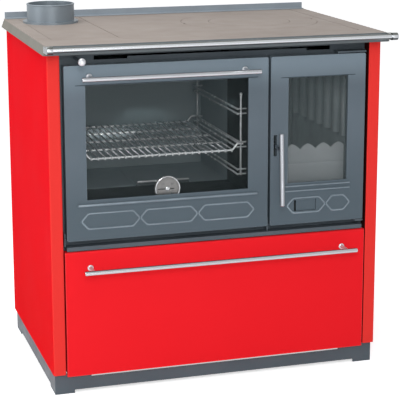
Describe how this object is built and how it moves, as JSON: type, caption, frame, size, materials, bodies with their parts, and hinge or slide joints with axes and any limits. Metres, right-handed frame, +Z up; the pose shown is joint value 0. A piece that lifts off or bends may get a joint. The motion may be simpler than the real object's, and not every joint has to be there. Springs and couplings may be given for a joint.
{
  "type": "wood-burning cookstove",
  "caption": "Freestanding wood-burning cookstove with a glazed drop-down oven door, a glazed fire door, a cast hob with a lift-off ring, a flue collar and a wood drawer.",
  "frame": {"origin": "on the floor, below the middle of the overall width and depth", "axes": "+Z up, the doors and the drawer face -Y, +X towards the fire door"},
  "size_m": [0.844, 0.619, 0.888],
  "materials": {
    "red_enamel": "gloss",
    "grey_cast": "satin",
    "grey_paint": "satin",
    "hob_iron": "satin",
    "dark_iron": "matte",
    "dark_sheet": "satin",
    "zinc_sheet": "satin",
    "bright_steel": "brushed",
    "chrome_wire": "polished",
    "glass": "clear",
    "rope": "braided",
    "needle_paint": "matte"
  },
  "bodies": {
    "stove": {"plinth": "grey_paint", "base_pan": "grey_paint", "left_side_panel": "red_enamel", "right_side_panel": "red_enamel", "back_panel": "zinc_sheet", "back_panel_screws": "bright_steel", "front_frame": "grey_paint", "vent_strip": "grey_paint", "hearth_sheet": "dark_sheet", "oven_box": "dark_sheet", "oven_baffle": "dark_sheet", "rack_ladders": "chrome_wire", "oven_rack": "chrome_wire", "oven_floor_cover": "dark_sheet", "ash_box": "dark_sheet", "ash_pan": "dark_sheet", "firebox_floor": "dark_iron", "fire_grate": "dark_iron", "left_firebox_plate": "dark_iron", "right_firebox_plate": "dark_iron", "rear_firebox_plate": "dark_iron", "log_guard": "dark_iron", "damper_baffle": "dark_sheet", "hob_frame": "hob_iron", "flue_plate": "hob_iron", "cooking_plate": "hob_iron", "flue_collar": "hob_iron", "collar_bolts": "bright_steel", "rear_upstand": "hob_iron", "front_rail": "bright_steel", "rail_brackets": "bright_steel", "oven_hinge_brackets": "grey_paint", "fire_hinge_brackets": "grey_paint", "drawer_runners": "zinc_sheet"},
    "hob_ring": {"hob_ring": "hob_iron"},
    "hob_lid": {"hob_lid": "hob_iron"},
    "damper": {"damper_rod": "bright_steel", "damper_knob": "chrome_wire"},
    "oven_door": {"oven_door_frame": "grey_cast", "oven_door_glass": "glass", "oven_glass_clips": "zinc_sheet", "oven_door_liner": "dark_sheet", "oven_door_seal": "rope", "oven_door_bar": "bright_steel", "oven_bar_posts": "bright_steel", "thermometer_case": "chrome_wire"},
    "needle": {"thermometer_needle": "needle_paint"},
    "fire_door": {"fire_door_frame": "grey_cast", "fire_door_glass": "glass", "fire_glass_clips": "zinc_sheet", "fire_door_liner": "dark_sheet", "fire_door_seal": "rope", "latch_bracket": "grey_paint"},
    "fire_handle": {"fire_door_lever": "bright_steel", "fire_door_bar": "bright_steel"},
    "air_slider": {"air_slider": "grey_cast"},
    "drawer": {"drawer_front": "red_enamel", "drawer_tray": "zinc_sheet", "drawer_bar": "bright_steel", "drawer_bar_posts": "bright_steel"}
  },
  "joints": [
    {"name": "oven_door_hinge", "type": "hinge", "parent": "stove", "child": "oven_door", "pos_m": [-0.1245, -0.2165, 0.385], "axis": [1, 0, 0], "range_deg": [0, 90]},
    {"name": "needle_pivot", "type": "hinge", "parent": "oven_door", "child": "needle", "pos_m": [-0.1245, -0.2238, 0.4845], "axis": [0, 1, 0], "range_deg": [-45, 225]},
    {"name": "fire_door_hinge", "type": "hinge", "parent": "stove", "child": "fire_door", "pos_m": [0.363, -0.2255, 0.583], "axis": [0, 0, 1], "range_deg": [0, 110]},
    {"name": "fire_handle_pivot", "type": "hinge", "parent": "fire_door", "child": "fire_handle", "pos_m": [0.141, -0.2195, 0.574], "axis": [1, 0, 0], "range_deg": [-25, 12]},
    {"name": "air_slide", "type": "slide", "parent": "fire_door", "child": "air_slider", "axis": [1, 0, 0], "range_m": [-0.006, 0]},
    {"name": "drawer_slide", "type": "slide", "parent": "stove", "child": "drawer", "axis": [0, -1, 0], "range_m": [0, 0.4]},
    {"name": "damper_slide", "type": "slide", "parent": "stove", "child": "damper", "axis": [0, -1, 0], "range_m": [0, 0.048]},
    {"name": "ring_lift", "type": "slide", "parent": "stove", "child": "hob_ring", "axis": [0, 0, 1], "range_m": [0, 0.06]},
    {"name": "lid_lift", "type": "slide", "parent": "hob_ring", "child": "hob_lid", "axis": [0, 0, 1], "range_m": [0, 0.06]}
  ]
}
